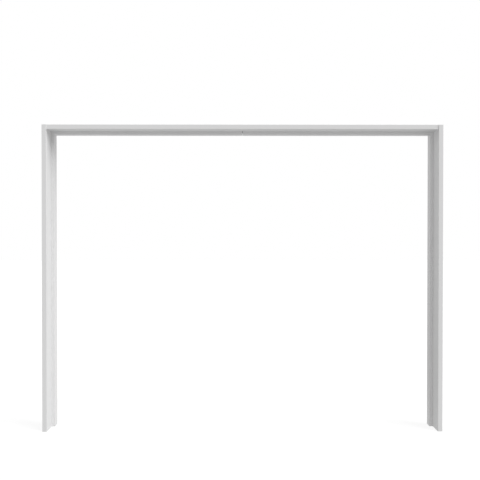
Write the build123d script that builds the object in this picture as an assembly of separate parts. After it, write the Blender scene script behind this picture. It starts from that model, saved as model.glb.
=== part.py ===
from build123d import *
import os

# Wide doorway surround: a rebated timber lining for an opening in a one-brick wall.
# Two jamb boards carry a head board, whose tongues sit in stopped housings at the jambs' tops.
# Planted stops stand on the far part of the boards and leave a deep rebate on the near side.
# The head's stop is two lengths that meet at mid span with an open joint.
#
# X runs along the wall, Y runs through it from the near side to the far side, Z is up.
# The origin is on the floor, in the middle of the surround's width and depth.
# All sizes are in millimetres.

# The clear opening, between the stops
clear_width = 2700.0
clear_height = 2100.0

# The boards
lining_depth = 215.0
board_thickness = 31.0
head_setback = 5.5
arris_radius = 1.0

# The planted stops
jamb_stop_thickness = 23.0
head_stop_thickness = 21.0
stop_width = 73.0
stop_joint_gap = 2.6

# The corner joints: a housing is stopped short of the head's near face, and its cutter leaves
# a round corner where it stops
housing_depth = 10.0
housing_stop = 12.0
cutter_radius = 6.0

# The corner screws, with a cross drive
screw_bite = 50.0
screw_shank_diameter = 5.0
screw_head_diameter = 10.0
screw_tip_length = 6.0
screw_drive_span = 4.8
screw_drive_width = 1.3
screw_drive_depth = 2.2
screw_hole_clearance = 0.1
pilot_hole_beyond_tip = 4.0

# Relief grooves, which keep the wide boards flat, on the faces turned to the wall
groove_count = 3
groove_width = 12.0
groove_depth = 4.0

# Places worked out from the sizes above
rebate_width = clear_width + 2 * jamb_stop_thickness
rebate_height = clear_height + head_stop_thickness
overall_width = rebate_width + 2 * board_thickness
overall_height = rebate_height + board_thickness
near_y = -lining_depth / 2
far_y = lining_depth / 2
stop_near_y = far_y - stop_width
head_near_y = near_y + head_setback
tongue_near_y = head_near_y + housing_stop
head_length = rebate_width + 2 * housing_depth
screw_z = overall_height - board_thickness / 2
screw_length = board_thickness - housing_depth + screw_bite
land_pitch = lining_depth / (groove_count + 1)
groove_ys = [near_y + land_pitch * (n + 1) for n in range(groove_count)]
screw_ys = [near_y + land_pitch * (n + 0.5) for n in range(groove_count + 1)]


def rectangle(low, high):
    """A plain section between two opposite corners."""
    width = high[0] - low[0]
    depth = high[1] - low[1]
    return Pos(low[0] + width / 2, low[1] + depth / 2) * Rectangle(width, depth)


def eased(section):
    """The section with its arrises rubbed down."""
    return fillet(section.vertices(), arris_radius)


def level(section, start_x, end_x):
    """A section of Y and Z run along X, as a level board lies."""
    return Pos(start_x, 0, 0) * extrude(Plane.YZ * section, amount=end_x - start_x)


def screw():
    """A countersunk wood screw along -Z, the flat of its head at the origin."""
    shank_r = screw_shank_diameter / 2
    head_r = screw_head_diameter / 2
    cone_depth = head_r - shank_r
    outline = Polyline(
        (0, 0),
        (head_r, 0),
        (shank_r, -cone_depth),
        (shank_r, -(screw_length - screw_tip_length)),
        (0, -screw_length),
        close=True,
    )
    body = revolve(Plane.XZ * make_face(outline), Axis.Z)
    slot = Rectangle(screw_drive_span, screw_drive_width)
    drive = extrude(slot + Rot(0, 0, 90) * slot, amount=-screw_drive_depth)
    return body - drive


def screw_hole():
    """The room that a corner screw takes: a countersink that its head fills, and a clearance bore."""
    bore_r = screw_shank_diameter / 2 + screw_hole_clearance
    head_r = screw_head_diameter / 2
    cone_depth = head_r - screw_shank_diameter / 2
    countersink = Pos(0, 0, -cone_depth / 2) * Cone(head_r - cone_depth, head_r, cone_depth)
    bore_length = screw_length + pilot_hole_beyond_tip
    bore = Pos(0, 0, -bore_length / 2) * Cylinder(bore_r, bore_length)
    return countersink + bore


def right_corner_places():
    """Where the right corner's screws enter: on the jamb's outer face, pointing to the middle."""
    return [Pos(overall_width / 2, y, screw_z) * Rot(0, 90, 0) for y in screw_ys]


def housing_section():
    """The housing in a jamb's inner face: open at the top and at the far edge, stopped on the near side."""
    blank = rectangle(
        (tongue_near_y, rebate_height),
        (far_y + arris_radius, overall_height + arris_radius),
    )
    stopped_corner = blank.vertices().sort_by(lambda corner: corner.X + corner.Y)[0]
    return fillet(stopped_corner, cutter_radius)


def right_jamb():
    section = eased(rectangle((rebate_width / 2, near_y), (overall_width / 2, far_y)))
    board = extrude(section, amount=overall_height)
    housing = level(housing_section(), rebate_width / 2, head_length / 2)
    groove = Box(groove_depth, groove_width, overall_height, align=(Align.MAX, Align.CENTER, Align.MIN))
    grooves = [Pos(overall_width / 2, y, 0) * groove for y in groove_ys]
    holes = [place * screw_hole() for place in right_corner_places()]
    return board - housing - grooves - holes


def head():
    section = eased(rectangle((head_near_y, rebate_height), (far_y, overall_height)))
    between_jambs = level(section, -rebate_width / 2, rebate_width / 2)
    tongues = level(section, -head_length / 2, head_length / 2) & level(
        housing_section(), -head_length / 2, head_length / 2
    )
    groove = Box(head_length, groove_width, groove_depth, align=(Align.CENTER, Align.CENTER, Align.MAX))
    grooves = [Pos(0, y, overall_height) * groove for y in groove_ys]
    right_holes = [place * screw_hole() for place in right_corner_places()]
    left_holes = [mirror(hole, Plane.YZ) for hole in right_holes]
    return between_jambs + tongues - grooves - right_holes - left_holes


def right_stop():
    section = eased(rectangle((clear_width / 2, stop_near_y), (rebate_width / 2, far_y)))
    return extrude(section, amount=clear_height)


def right_head_stop():
    section = eased(rectangle((stop_near_y, clear_height), (far_y, rebate_height)))
    return level(section, stop_joint_gap / 2, rebate_width / 2)


def in_pair(name, right_piece):
    """The right-hand piece and its mirror image, by node name."""
    return {f"right_{name}": right_piece, f"left_{name}": mirror(right_piece, Plane.YZ)}


nodes = {"head": head()}
nodes |= in_pair("jamb", right_jamb())
nodes |= in_pair("stop", right_stop())
nodes |= in_pair("head_stop", right_head_stop())
for number, place in enumerate(right_corner_places(), start=1):
    nodes |= in_pair(f"corner_screw_{number}", place * screw())

os.makedirs("parts", exist_ok=True)
for node_name, shape in nodes.items():
    export_step(shape, f"parts/{node_name}.step")
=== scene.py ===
import math
import random

import bpy
from mathutils import Matrix, Vector


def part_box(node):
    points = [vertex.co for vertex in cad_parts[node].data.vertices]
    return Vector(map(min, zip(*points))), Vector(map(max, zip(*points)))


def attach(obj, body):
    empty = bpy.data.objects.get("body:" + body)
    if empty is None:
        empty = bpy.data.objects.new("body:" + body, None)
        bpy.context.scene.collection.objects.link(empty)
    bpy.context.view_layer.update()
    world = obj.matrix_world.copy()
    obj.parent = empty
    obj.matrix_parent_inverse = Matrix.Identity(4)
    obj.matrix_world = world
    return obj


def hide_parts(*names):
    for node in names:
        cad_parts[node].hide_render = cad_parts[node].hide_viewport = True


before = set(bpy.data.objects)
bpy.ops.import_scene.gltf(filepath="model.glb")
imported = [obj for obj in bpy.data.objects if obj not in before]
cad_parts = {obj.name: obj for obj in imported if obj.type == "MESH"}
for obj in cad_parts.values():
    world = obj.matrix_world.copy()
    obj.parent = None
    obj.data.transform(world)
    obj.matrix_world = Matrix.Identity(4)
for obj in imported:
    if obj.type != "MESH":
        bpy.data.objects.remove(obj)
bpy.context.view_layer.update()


# The jambs: two upright boards of plain-sawn softwood, planed and painted with white satin paint.
# The grain and the painter's laying-off strokes run up the board, and the head is let into their tops.


def node(tree, kind, inputs=None, **settings):
    """Adds a node to the tree, with its settings and the values of its inputs by name or number."""
    made = tree.nodes.new(kind)
    for name, value in settings.items():
        setattr(made, name, value)
    for name, value in (inputs or {}).items():
        if isinstance(value, bpy.types.NodeSocket):
            tree.links.new(value, made.inputs[name])
        else:
            made.inputs[name].default_value = value
    return made


def math_node(tree, operation, a, b=0.0):
    """One sum on two numbers or sockets, as a socket."""
    return node(tree, "ShaderNodeMath", {0: a, 1: b}, operation=operation).outputs[0]


def vector_node(tree, operation, a, b=(0.0, 0.0, 0.0)):
    """One sum on two vectors or sockets, as the vector's socket, or the number's where it gives one."""
    outputs = node(tree, "ShaderNodeVectorMath", {0: a, 1: b}, operation=operation).outputs
    return outputs["Value" if operation in ("LENGTH", "DOT_PRODUCT") else "Vector"]


def noise(tree, place, waves, detail):
    """Soft noise at this place, with so many waves a metre each way, as a socket."""
    drawn = vector_node(tree, "MULTIPLY", place, waves)
    inputs = {"Vector": drawn, "Scale": 1.0, "Detail": detail}
    return node(tree, "ShaderNodeTexNoise", inputs).outputs["Fac"]


def ranged(tree, value, given, wanted):
    """The value, turned from the given range to the wanted one, as a socket."""
    inputs = {
        "Value": value,
        "From Min": given[0],
        "From Max": given[1],
        "To Min": wanted[0],
        "To Max": wanted[1],
    }
    return node(tree, "ShaderNodeMapRange", inputs).outputs["Result"]


def effect(name, inputs, outputs):
    """An empty shader node group with these named inputs, (kind, value), and outputs, (kind)."""
    tree = bpy.data.node_groups.new(name, "ShaderNodeTree")
    for socket_name, (kind, value) in inputs.items():
        socket = tree.interface.new_socket(socket_name, in_out="INPUT", socket_type=kind)
        if value is not None:
            socket.default_value = value
    for socket_name, kind in outputs.items():
        tree.interface.new_socket(socket_name, in_out="OUTPUT", socket_type=kind)
    entry = tree.nodes.new("NodeGroupInput")
    leave = tree.nodes.new("NodeGroupOutput")
    return tree, entry.outputs, leave.inputs


# The timber's figure. Waves are so many a metre along, across and through the board. The pith's
# place is from the board's middle, in metres, and the end's range is how nearly a face looks along it
ALONG_LEVEL = (1.0, 0.0, 0.0)
ALONG_UPRIGHT = (0.0, 0.0, 1.0)
ACROSS = (0.0, 1.0, 1.0)
PITH = (0.0, 0.012, -0.075)
RING_WIDTH = 0.0032
LATEWOOD_SHARPNESS = 3.0
GROWTH_WAVES = (0.8, 5.0, 5.0)
GROWTH_WANDER = 0.03
FIBRE_WAVES = (30.0, 2200.0, 2200.0)
END_FACING = (0.6, 0.9)


def planed_grain():
    """Plain-sawn softwood: growth rings about a pith below the board, and cells that run along it."""
    tree, given, result = effect(
        "planed_grain",
        {
            "Board": ("NodeSocketVector", None),
            "Along": ("NodeSocketVector", ALONG_LEVEL),
            "Log": ("NodeSocketFloat", 0.0),
            "Ring Width": ("NodeSocketFloat", RING_WIDTH),
        },
        {"Latewood": "NodeSocketFloat", "Fibre": "NodeSocketFloat", "End": "NodeSocketFloat"},
    )
    # The tree's growth wanders slowly along its length
    drawn_out = vector_node(tree, "MULTIPLY", given["Board"], GROWTH_WAVES)
    wander = node(
        tree,
        "ShaderNodeTexNoise",
        {"Vector": drawn_out, "W": given["Log"], "Scale": 1.0, "Detail": 2.0},
        noise_dimensions="4D",
    )
    from_pith = vector_node(tree, "SUBTRACT", given["Board"], PITH)
    radius = vector_node(tree, "LENGTH", vector_node(tree, "MULTIPLY", from_pith, ACROSS))
    wavy = math_node(tree, "MULTIPLY", wander.outputs["Fac"], GROWTH_WANDER)
    grown = math_node(tree, "ADD", radius, wavy)
    rings = math_node(tree, "FRACT", math_node(tree, "DIVIDE", grown, given["Ring Width"]))
    # Where the board is cut across, its face looks along its length
    face = node(tree, "ShaderNodeNewGeometry").outputs["True Normal"]
    facing = math_node(tree, "ABSOLUTE", vector_node(tree, "DOT_PRODUCT", face, given["Along"]))
    tree.links.new(math_node(tree, "POWER", rings, LATEWOOD_SHARPNESS), result["Latewood"])
    tree.links.new(noise(tree, given["Board"], FIBRE_WAVES, 1.0), result["Fibre"])
    tree.links.new(ranged(tree, facing, END_FACING, (0.0, 1.0)), result["End"])
    return tree


# The marks that a brush leaves in the paint
STROKE_WAVES = (4.0, 700.0, 700.0)
STIPPLE_WAVES = (650.0, 650.0, 650.0)
TONE_WAVES = (1.5, 14.0, 14.0)


def brushed_film():
    """A brushed paint film: laying-off strokes along the board, fine stipple, and slow changes of tone."""
    tree, given, result = effect(
        "brushed_film",
        {"Board": ("NodeSocketVector", None)},
        {"Strokes": "NodeSocketFloat", "Stipple": "NodeSocketFloat", "Tone": "NodeSocketFloat"},
    )
    tree.links.new(noise(tree, given["Board"], STROKE_WAVES, 3.0), result["Strokes"])
    tree.links.new(noise(tree, given["Board"], STIPPLE_WAVES, 2.0), result["Stipple"])
    tree.links.new(noise(tree, given["Board"], TONE_WAVES, 4.0), result["Tone"])
    return tree


# How wide the worn edge is, and how nearly its roundness agrees with the flat where wear starts and
# where it is full
ARRIS_WEAR = 0.002
ARRIS_TURN = (0.99, 0.85)


def worn_arris():
    """A mask of the edges, where a brush leaves the film thin and hands rub it smooth."""
    tree, given, result = effect(
        "worn_arris", {"Radius": ("NodeSocketFloat", ARRIS_WEAR)}, {"Mask": "NodeSocketFloat"}
    )
    rounded = node(tree, "ShaderNodeBevel", {"Radius": given["Radius"]}, samples=4)
    flat = node(tree, "ShaderNodeNewGeometry").outputs["True Normal"]
    agree = vector_node(tree, "DOT_PRODUCT", rounded.outputs[0], flat)
    tree.links.new(ranged(tree, agree, ARRIS_TURN, (0.0, 1.0)), result["Mask"])
    return tree


GRAIN = planed_grain()
FILM = brushed_film()
ARRIS = worn_arris()

# The paint, how far the timber and the brush show in its tone, and what end grain and wear do to it.
# Soft noise mostly keeps to its band
PAINT_WHITE = (0.80, 0.80, 0.80, 1.0)
PAINT_THIN = (0.70, 0.695, 0.685, 1.0)
PAINT_ROUGHNESS = (0.51, 0.57)
NOISE_BAND = (0.3, 0.7)
TONE_SHOW = (0.998, 1.012)
RING_SHOW = 0.022
STROKE_SHOW = 0.035
END_THIRST = 0.5
END_DULLED = 0.12
ARRIS_RUBBED = 0.3

# How far they stand up in its surface, in metres, and how much more of it the cut end has
RING_RELIEF = 0.000060
FIBRE_RELIEF = 0.000018
STROKE_RELIEF = 0.000045
STIPPLE_RELIEF = 0.000012
END_RELIEF = 2.0
BUMP_PIXELS = 1.0


def relief(tree, height):
    """The normals of a surface that stands up by this height in metres, as a socket."""
    inputs = {"Strength": 1.0, "Distance": 1.0, "Filter Width": BUMP_PIXELS, "Height": height}
    return node(tree, "ShaderNodeBump", inputs).outputs[0]


def mixed(tree, share, first, second, way="MIX"):
    """Two colours mixed, with this share of the second, as a socket."""
    inputs = {"Factor": share, 6: first, 7: second}
    return node(tree, "ShaderNodeMix", inputs, data_type="RGBA", blend_type=way).outputs[2]


def new_finish(name):
    """A new material, with its node tree and the inputs of its Principled BSDF."""
    material = bpy.data.materials.new(name)
    material.use_nodes = True
    tree = material.node_tree
    return material, tree, tree.nodes["Principled BSDF"].inputs


def white_paint(board, log, upright):
    """White satin paint over one planed board, cut from its own log, that stands upright or lies level."""
    material, tree, surface = new_finish(f"{board}_paint")
    low, high = (Vector(corner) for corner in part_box(board))
    turn = math.radians(90) if upright else 0.0
    middle = Matrix.Rotation(turn, 3, "Y") @ ((low + high) / 2)
    place = node(
        tree,
        "ShaderNodeMapping",
        {
            "Vector": node(tree, "ShaderNodeTexCoord").outputs["Object"],
            "Location": -middle,
            "Rotation": (0.0, turn, 0.0),
        },
    ).outputs[0]
    along = ALONG_UPRIGHT if upright else ALONG_LEVEL
    timber = {"Board": place, "Along": along, "Log": log, "Ring Width": RING_WIDTH}
    grain = node(tree, "ShaderNodeGroup", timber, node_tree=GRAIN).outputs
    film = node(tree, "ShaderNodeGroup", {"Board": place}, node_tree=FILM).outputs
    arris = node(tree, "ShaderNodeGroup", {"Radius": ARRIS_WEAR}, node_tree=ARRIS).outputs

    # The rings and the strokes show through the film as faint changes of tone
    slow = ranged(tree, film["Tone"], NOISE_BAND, TONE_SHOW)
    ringed = math_node(tree, "MULTIPLY", grain["Latewood"], RING_SHOW)
    stroked = math_node(tree, "MULTIPLY", math_node(tree, "SUBTRACT", film["Strokes"], 0.5), STROKE_SHOW)
    tone = math_node(tree, "ADD", math_node(tree, "SUBTRACT", slow, ringed), stroked)
    toned = mixed(tree, 1.0, PAINT_WHITE, tone, "MULTIPLY")
    # The film is thin on the arrises, and end grain drinks it
    starved = math_node(tree, "MULTIPLY", grain["End"], END_THIRST)
    rubbed = math_node(tree, "MULTIPLY", arris["Mask"], ARRIS_RUBBED)
    covered = mixed(tree, math_node(tree, "MAXIMUM", starved, rubbed), toned, PAINT_THIN)
    tree.links.new(covered, surface["Base Color"])

    gloss = ranged(tree, film["Strokes"], NOISE_BAND, PAINT_ROUGHNESS)
    dulled = math_node(tree, "MULTIPLY", grain["End"], END_DULLED)
    tree.links.new(math_node(tree, "ADD", gloss, dulled), surface["Roughness"])

    # The wood shows through the film as a slight relief, and more where it is cut across
    raised = math_node(tree, "ADD", math_node(tree, "MULTIPLY", grain["End"], END_RELIEF), 1.0)
    figure = math_node(tree, "MULTIPLY", grain["Latewood"], RING_RELIEF)
    cells = math_node(tree, "MULTIPLY", grain["Fibre"], FIBRE_RELIEF)
    wood = math_node(tree, "MULTIPLY", math_node(tree, "ADD", figure, cells), raised)
    strokes = math_node(tree, "MULTIPLY", film["Strokes"], STROKE_RELIEF)
    stipple = math_node(tree, "MULTIPLY", film["Stipple"], STIPPLE_RELIEF)
    height = math_node(tree, "ADD", wood, math_node(tree, "ADD", strokes, stipple))
    tree.links.new(relief(tree, height), surface["Normal"])
    return material


def dress(board, log, upright):
    """Paints one packed board, which stands upright or lies level."""
    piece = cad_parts[board]
    piece.data.materials.clear()
    piece.data.materials.append(white_paint(board, log, upright))


dress("left_jamb", 1.3, upright=True)
dress("right_jamb", 4.1, upright=True)


# The head: one board across the top, set back a little from the jambs' near edges.
# It is the same painted timber laid level, with its ends let into the jambs and screwed through them.

dress("head", 6.7, upright=False)


# The corner screws: countersunk wood screws of zinc-plated steel with a tapered cross recess.
# Four go through each jamb into the head's end, flush with the face that is turned to the wall.

HEAD_RADIUS = 0.0047
HEAD_LAND = 0.00025
HEAD_CHAMFER = 0.00012
SHANK_RADIUS = 0.0024
SHANK_END = 0.024
CORE_RADIUS = 0.0017
POINT_LENGTH = 0.006
POINT_BLUNT = 0.02
CONE_END = HEAD_LAND + HEAD_RADIUS - SHANK_RADIUS

# The recess is a cross that tapers: the shares of its outline left at its wall's foot and on its floor,
# and the shares of its depth at the wall's foot and in the middle
RECESS_SPAN = 0.0024
RECESS_WIDTH = 0.00065
RECESS_DEPTH = 0.0021
RECESS_TAPER = 0.68
RECESS_FLOOR = 0.35
RECESS_WALL = 0.82
RECESS_POINT = 1.1

# The thread's strands: how far down the pitch each runs, and its share of the thread's height
THREAD_START = SHANK_END + SHANK_RADIUS - CORE_RADIUS
THREAD_RADIUS = 0.00245
THREAD_PITCH = 0.0026
THREAD_STRANDS = ((0.0, 0.0), (0.52, 0.0), (0.74, 1.0), (0.80, 1.0))
THREAD_RUN_IN = 0.75
THREAD_RUN_OUT = 1.6

# Points about the axis: so many a quarter turn, and none nearer than this to the next
QUARTER_STEPS = 10
LEAST_STEP = math.radians(2)

# Each screw was driven to a turn of its own: these many degrees for its number and its side
NUMBER_TURN = 37
SIDE_TURN = 11

ZINC_BLUE = (0.56, 0.58, 0.62, 1.0)
ZINC_PALE = (0.70, 0.69, 0.66, 1.0)
ZINC_ROUGHNESS = (0.28, 0.46)
BLOOM_WAVES = (420.0, 420.0, 420.0)
LATHE_WAVES = 1500.0
LATHE_RELIEF = 0.00002


def cross_reach(turn):
    """How far the cross recess reaches from the screw's axis at this turn about it."""
    folded = turn % (math.pi / 2)
    folded = min(folded, math.pi / 2 - folded)
    if folded < 1e-6:
        return RECESS_SPAN
    return min(RECESS_SPAN / math.cos(folded), RECESS_WIDTH / math.sin(folded))


def turns_about():
    """The turns at which a ring of the screw has its points: even steps, and the recess's corners."""
    corner_turn = math.atan2(RECESS_WIDTH, RECESS_SPAN)
    steps = [math.pi / 2 * n / QUARTER_STEPS for n in range(QUARTER_STEPS)]
    steps += [corner_turn, math.pi / 4, math.pi / 2 - corner_turn]
    quarter = []
    for step in sorted(steps):
        if not quarter or step - quarter[-1] > LEAST_STEP:
            quarter.append(step)
    return [math.pi / 2 * n + step for n in range(4) for step in quarter]


def turned(turn, reach, height):
    """A point at this turn about the screw's axis, and this far from it."""
    return Vector((math.cos(turn) * reach, math.sin(turn) * reach, height))


def turned_part(turns, vertices, faces):
    """Adds the recess, the head and the plain shank to the lists, and returns the last ring's start."""
    # Each ring is a share of the recess's outline and a radius, added up, and its height
    rings = (
        (RECESS_TAPER * RECESS_FLOOR, 0.0, -RECESS_DEPTH),
        (RECESS_TAPER, 0.0, -RECESS_DEPTH * RECESS_WALL),
        (1.0, 0.0, -HEAD_CHAMFER),
        (1.0, HEAD_CHAMFER, 0.0),
        (0.0, HEAD_RADIUS - HEAD_CHAMFER, 0.0),
        (0.0, HEAD_RADIUS, -HEAD_CHAMFER),
        (0.0, HEAD_RADIUS, -HEAD_LAND),
        (0.0, SHANK_RADIUS, -CONE_END),
        (0.0, SHANK_RADIUS, -SHANK_END),
        (0.0, CORE_RADIUS, -THREAD_START),
    )
    around = len(turns)
    vertices.append(Vector((0.0, 0.0, -RECESS_DEPTH * RECESS_POINT)))
    for cross, radius, height in rings:
        vertices += [turned(turn, cross * cross_reach(turn) + radius, height) for turn in turns]
    for n in range(around):
        faces.append((0, 1 + n, 1 + (n + 1) % around))
    for level in range(len(rings) - 1):
        inner = 1 + level * around
        outer = inner + around
        for n in range(around):
            beside = (n + 1) % around
            faces.append((inner + n, outer + n, outer + beside, inner + beside))
    return 1 + (len(rings) - 1) * around


def wound_part(turns, length, vertices, faces):
    """Adds the thread to the lists: strands that wind down side by side as the flanks of one helix."""
    around = len(turns)
    winds = int((length - THREAD_START) / THREAD_PITCH)
    samples = winds * around + 1
    starts = []
    for shift, swell in THREAD_STRANDS:
        starts.append(len(vertices))
        for n in range(samples):
            turn = turns[n % around] + math.tau * (n // around)
            wound = turn / math.tau
            height = -THREAD_START - THREAD_PITCH * (wound + shift)
            point = min(1.0, max(POINT_BLUNT, (length + height) / POINT_LENGTH))
            core = CORE_RADIUS * point
            run_in = min(1.0, wound / THREAD_RUN_IN)
            crest = (THREAD_RADIUS - CORE_RADIUS) * run_in * min(1.0, point * THREAD_RUN_OUT)
            vertices.append(turned(turn, core + crest * swell, max(height, -length)))
    # The last strand meets the first one a wind further down
    for strand, upper in enumerate(starts):
        last_strand = strand == len(starts) - 1
        lower = starts[0] + around if last_strand else starts[strand + 1]
        for n in range(samples - 1 - (around if last_strand else 0)):
            faces.append((upper + n, lower + n, lower + n + 1, upper + n + 1))
    return starts, samples


def screw_mesh(length):
    """One screw along -Z, the flat of its head at the origin, as one closed mesh."""
    turns = turns_about()
    around = len(turns)
    vertices = []
    faces = []
    ring = turned_part(turns, vertices, faces)
    starts, samples = wound_part(turns, length, vertices, faces)
    # The shank's last ring meets the first wind, whose last face also takes the strands' starts
    first = starts[0]
    for n in range(around - 1):
        faces.append((ring + n, first + n, first + n + 1, ring + n + 1))
    closing = (ring + around - 1, first + around - 1, first + around)
    faces.append(closing + tuple(reversed(starts)) + (ring,))
    # The point closes the last wind
    tip = len(vertices)
    vertices.append(Vector((0.0, 0.0, -length)))
    last_wind = starts[-1] + samples - 1 - around
    rim = [last_wind + n for n in range(around)]
    rim += [start + samples - 1 for start in reversed(starts)]
    for n in range(len(rim)):
        faces.append((rim[n], tip, rim[(n + 1) % len(rim)]))
    mesh = bpy.data.meshes.new("corner_screw")
    mesh.from_pydata(vertices, [], faces)
    return mesh


zinc, tree, surface = new_finish("zinc_plate")
surface["Metallic"].default_value = 1.0
on_screw = node(tree, "ShaderNodeTexCoord").outputs["Object"]
bloom = noise(tree, on_screw, BLOOM_WAVES, 3.0)
tree.links.new(mixed(tree, bloom, ZINC_BLUE, ZINC_PALE), surface["Base Color"])
tree.links.new(ranged(tree, bloom, NOISE_BAND, ZINC_ROUGHNESS), surface["Roughness"])
turning = node(
    tree,
    "ShaderNodeTexWave",
    {"Vector": on_screw, "Scale": LATHE_WAVES, "Distortion": 1.5, "Detail": 2.0},
    wave_type="RINGS",
    rings_direction="Z",
)
lathe_marks = node(
    tree, "ShaderNodeBump", {"Strength": 0.4, "Distance": LATHE_RELIEF, "Height": turning.outputs["Fac"]}
)
tree.links.new(lathe_marks.outputs[0], surface["Normal"])

pattern_low, pattern_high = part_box("right_corner_screw_1")
screw = screw_mesh(pattern_high[0] - pattern_low[0])
screw.materials.append(zinc)
for side, outward in (("left", -1), ("right", 1)):
    for number in (1, 2, 3, 4):
        low, high = (Vector(corner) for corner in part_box(f"{side}_corner_screw_{number}"))
        flat = (low + high) / 2
        flat.x = high.x if side == "right" else low.x
        driven = Matrix.Rotation(math.radians(NUMBER_TURN * number + SIDE_TURN * outward), 4, "Z")
        fastener = bpy.data.objects.new(f"{side}_screw_{number}", screw)
        fastener.matrix_world = (
            Matrix.Translation(flat) @ Matrix.Rotation(math.radians(90) * outward, 4, "Y") @ driven
        )
        bpy.context.scene.collection.objects.link(fastener)
        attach(fastener, "root")
        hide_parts(f"{side}_corner_screw_{number}")


# The stops: strips of the same timber, planted on the boards' far part and painted with them.
# Those under the head are two lengths with an open joint at mid span.

dress("left_stop", 8.2, upright=True)
dress("right_stop", 9.6, upright=True)
dress("left_head_stop", 11.5, upright=False)
dress("right_head_stop", 13.4, upright=False)

# Shade painted into the open joint: a near-black colour in its upper part, down to this depth, and a faint
# painted shadow that thins out to the sides, in front and below within these lengths
JOINT_SHADE_COLOR = (0.03, 0.03, 0.03, 1.0)
JOINT_SHADE_DEPTH = 0.008
JOINT_SHADE_FADE = (0.0003, 0.045, 0.006)


def painted_joint_shade():
    """A mask of painted shade in a box-shaped gap, which thins out beyond its ends."""
    tree, given, result = effect(
        "painted_joint_shade",
        {
            "Place": ("NodeSocketVector", None),
            "Middle": ("NodeSocketVector", None),
            "Half Size": ("NodeSocketVector", None),
            "Fade": ("NodeSocketVector", JOINT_SHADE_FADE),
        },
        {"Mask": "NodeSocketFloat"},
    )
    apart = vector_node(tree, "ABSOLUTE", vector_node(tree, "SUBTRACT", given["Place"], given["Middle"]))
    outside = vector_node(tree, "SUBTRACT", apart, given["Half Size"])
    faded = vector_node(tree, "DIVIDE", outside, given["Fade"])
    ways = node(tree, "ShaderNodeSeparateXYZ", {0: faded}).outputs
    farthest = math_node(tree, "MAXIMUM", math_node(tree, "MAXIMUM", ways[0], ways[1]), ways[2])
    tree.links.new(ranged(tree, farthest, (0.0, 1.0), (1.0, 0.0)), result["Mask"])
    return tree


JOINT_SHADE = painted_joint_shade()


def paint_joint_shade(board):
    """Paints shade into the colour of one board where it faces the open joint between the head's two
    stops.
    """
    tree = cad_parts[board].data.materials[0].node_tree
    base_color = tree.nodes["Principled BSDF"].inputs["Base Color"]
    far_left = Vector(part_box("left_head_stop")[1])
    near_right = Vector(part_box("right_head_stop")[0])
    near_right.z = far_left.z - JOINT_SHADE_DEPTH
    joint = {
        "Place": node(tree, "ShaderNodeTexCoord").outputs["Object"],
        "Middle": (far_left + near_right) / 2,
        "Half Size": [abs(size) / 2 for size in near_right - far_left],
        "Fade": JOINT_SHADE_FADE,
    }
    joint_shade = node(tree, "ShaderNodeGroup", joint, node_tree=JOINT_SHADE).outputs["Mask"]
    # The joint's painted shade: a near-black colour mixed into the paint's own colour
    tree.links.new(mixed(tree, joint_shade, base_color.links[0].from_socket, JOINT_SHADE_COLOR), base_color)


# Painted shade at the joint, on the head and on both head stops
for board in ("head", "left_head_stop", "right_head_stop"):
    paint_joint_shade(board)


# The pins that hold the stops: punched below the face, filled, rubbed down and painted over.
# Each shows as a low round swelling of filler, a little off the middle of the stop's face by turns.

PIN_PITCH = 0.30
PIN_STAGGER = 0.012
PIN_DRIFT = 0.008
PIN_STRAY = 0.002
FILL_RADIUS = 0.0028
FILL_RADIUS_SPREAD = (0.85, 1.1)
FILL_RISE = 0.00025
FILL_RISE_SPREAD = (0.7, 1.1)
FILL_SUNK = 0.0004
FILL_RIM_SUNK = 0.00002
FILL_SIDES = 20
FILL_RINGS = (1.0, 0.8, 0.55, 0.3)
FILL_ROUGHNESS = (0.56, 0.64)

UP = Vector((0.0, 0.0, 1.0))
RIGHT = Vector((1.0, 0.0, 0.0))
THROUGH = Vector((0.0, 1.0, 0.0))

pin_draw = random.Random(7)


def filled_pin(vertices, faces, place, along, across, out):
    """Adds one closed dome of filler to the lists, on the face that looks out."""
    size = FILL_RADIUS * pin_draw.uniform(*FILL_RADIUS_SPREAD)
    rise = FILL_RISE * pin_draw.uniform(*FILL_RISE_SPREAD)
    rings = [(1.0, -FILL_SUNK)]
    rings += [(share, rise * (1 - share**2) ** 2 - FILL_RIM_SUNK) for share in FILL_RINGS]
    bottom = len(vertices)
    vertices.append(place - out * FILL_SUNK)
    for share, height in rings:
        for side in range(FILL_SIDES):
            turn = math.tau * side / FILL_SIDES
            spoke = along * math.cos(turn) + across * math.sin(turn)
            vertices.append(place + spoke * size * share + out * height)
    top = len(vertices)
    vertices.append(place + out * (rise - FILL_RIM_SUNK))
    for side in range(FILL_SIDES):
        beside = (side + 1) % FILL_SIDES
        faces.append((bottom, bottom + 1 + beside, bottom + 1 + side))
        for level in range(len(FILL_RINGS)):
            lower = bottom + 1 + level * FILL_SIDES
            upper = lower + FILL_SIDES
            faces.append((lower + side, lower + beside, upper + beside, upper + side))
        faces.append((top - FILL_SIDES + side, top - FILL_SIDES + beside, top))


def pin_fills(stop, along, across, out):
    """The filled pins of one stop, as one piece."""
    low, high = (Vector(corner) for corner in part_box(stop))
    size = high - low
    length = abs(size.dot(along))
    face = (low + high) / 2 + out * abs(size.dot(out)) / 2
    count = round(length / PIN_PITCH)
    pitch = length / count
    vertices = []
    faces = []
    for n in range(count):
        run = (n + 0.5) * pitch - length / 2 + pin_draw.uniform(-PIN_DRIFT, PIN_DRIFT)
        aside = (PIN_STAGGER if n % 2 else -PIN_STAGGER) + pin_draw.uniform(-PIN_STRAY, PIN_STRAY)
        filled_pin(vertices, faces, face + along * run + across * aside, along, across, out)
    mesh = bpy.data.meshes.new(f"{stop}_pin_fills")
    mesh.from_pydata(vertices, [], faces)
    mesh.polygons.foreach_set("use_smooth", [True] * len(mesh.polygons))
    mesh.materials.append(fill_paint)
    fills = bpy.data.objects.new(f"{stop}_pin_fills", mesh)
    bpy.context.scene.collection.objects.link(fills)
    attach(fills, "root")


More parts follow.
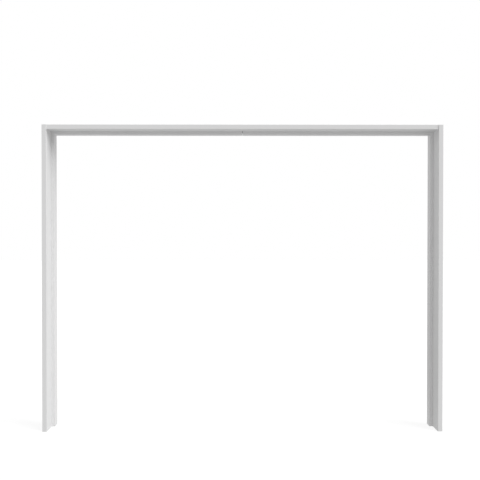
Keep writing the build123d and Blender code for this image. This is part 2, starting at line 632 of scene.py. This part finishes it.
fill_paint, tree, surface = new_finish("filled_pin_paint")
on_fill = node(tree, "ShaderNodeTexCoord").outputs["Object"]
film = node(tree, "ShaderNodeGroup", {"Board": on_fill}, node_tree=FILM).outputs
tree.links.new(mixed(tree, film["Tone"], PAINT_THIN, PAINT_WHITE), surface["Base Color"])
tree.links.new(ranged(tree, film["Stipple"], NOISE_BAND, FILL_ROUGHNESS), surface["Roughness"])
fill_height = math_node(tree, "MULTIPLY", film["Stipple"], STIPPLE_RELIEF)
tree.links.new(relief(tree, fill_height), surface["Normal"])

pin_fills("left_stop", UP, THROUGH, RIGHT)
pin_fills("right_stop", UP, -THROUGH, -RIGHT)
pin_fills("left_head_stop", RIGHT, -THROUGH, -UP)
pin_fills("right_head_stop", RIGHT, -THROUGH, -UP)


# The stage: even studio light from all round, and a plain floor that stays white in the picture.
# The floor keeps the surround's soft shadow and lets the light from below through to its feet.

AMBIENT = 0.532
WHITE = 1.0
FLOOR_SIZE = 60.0
FLOOR_GREY = (0.25, 0.25, 0.25, 1.0)
FLOOR_GLOW = 0.83

corner = FLOOR_SIZE / 2
floor_mesh = bpy.data.meshes.new("floor")
floor_mesh.from_pydata(
    [(-corner, -corner, 0), (corner, -corner, 0), (corner, corner, 0), (-corner, corner, 0)],
    [],
    [(0, 1, 2, 3)],
)
floor = bpy.data.objects.new("floor", floor_mesh)
bpy.context.scene.collection.objects.link(floor)


def seen_directly(tree):
    """1 for what the camera, a mirror or glass looks at, 0 for light on the object, as a socket."""
    path = node(tree, "ShaderNodeLightPath")
    either = math_node(tree, "MAXIMUM", path.outputs["Is Camera Ray"], path.outputs["Is Glossy Ray"])
    return math_node(tree, "MAXIMUM", either, path.outputs["Is Transmission Ray"])


floor_material = bpy.data.materials.new("floor")
floor_material.use_nodes = True
tree = floor_material.node_tree
tree.nodes.clear()
open_below = node(tree, "ShaderNodeBsdfTransparent").outputs[0]
shaded = node(tree, "ShaderNodeBsdfDiffuse", {"Color": FLOOR_GREY}).outputs[0]
glow = node(tree, "ShaderNodeEmission", {"Strength": FLOOR_GLOW}).outputs[0]
seen = node(tree, "ShaderNodeAddShader", {0: shaded, 1: glow}).outputs[0]
chosen = node(tree, "ShaderNodeMixShader", {0: seen_directly(tree), 1: open_below, 2: seen})
node(tree, "ShaderNodeOutputMaterial", {"Surface": chosen.outputs[0]})
floor_mesh.materials.append(floor_material)

world = bpy.data.worlds.new("studio")
bpy.context.scene.world = world
world.use_nodes = True
tree = world.node_tree
background = tree.nodes["Background"].inputs
background["Color"].default_value = (1.0, 1.0, 1.0, 1.0)
strength = ranged(tree, seen_directly(tree), (0.0, 1.0), (AMBIENT, WHITE))
tree.links.new(strength, background["Strength"])


# The key light: one broad, soft lamp from the upper right in front of the surround.
# It lights the left jamb's inner face, and leaves the right one and the head's underside in shade.

KEY_STRENGTH = 1.954
KEY_FROM = Vector((0.6446, -0.4075, 0.6469))
KEY_SPREAD = math.radians(42.9)

key_light = bpy.data.lights.new("key", "SUN")
key_light.energy = KEY_STRENGTH
key_light.angle = KEY_SPREAD
key = bpy.data.objects.new("key", key_light)
key.rotation_euler = KEY_FROM.to_track_quat("Z", "Y").to_euler()
bpy.context.scene.collection.objects.link(key)


# The camera: at standing eye height, a little left of the middle and square to the wall.
# Its turns are in radians, and its shifts are shares of the picture's width.

CAMERA_PLACE = Vector((-0.0553, -5.3081, 1.4076))
CAMERA_SENSOR = 36.0
CAMERA_LENS = 55.746
CAMERA_PITCH_DOWN = 0.010777
CAMERA_YAW_RIGHT = 0.004324
CAMERA_ROLL = 0.000178
CAMERA_SHIFT_RIGHT = 0.00424
CAMERA_SHIFT_DOWN = 0.00193

camera_data = bpy.data.cameras.new("camera")
camera_data.sensor_width = CAMERA_SENSOR
camera_data.lens = CAMERA_LENS
camera_data.shift_x = CAMERA_SHIFT_RIGHT
camera_data.shift_y = -CAMERA_SHIFT_DOWN
camera = bpy.data.objects.new("camera", camera_data)
camera.matrix_world = (
    Matrix.Translation(CAMERA_PLACE)
    @ Matrix.Rotation(-CAMERA_YAW_RIGHT, 4, "Z")
    @ Matrix.Rotation(math.radians(90) - CAMERA_PITCH_DOWN, 4, "X")
    @ Matrix.Rotation(CAMERA_ROLL, 4, "Z")
)
bpy.context.scene.collection.objects.link(camera)
bpy.context.scene.camera = camera
bpy.context.scene.view_settings.view_transform = "Standard"
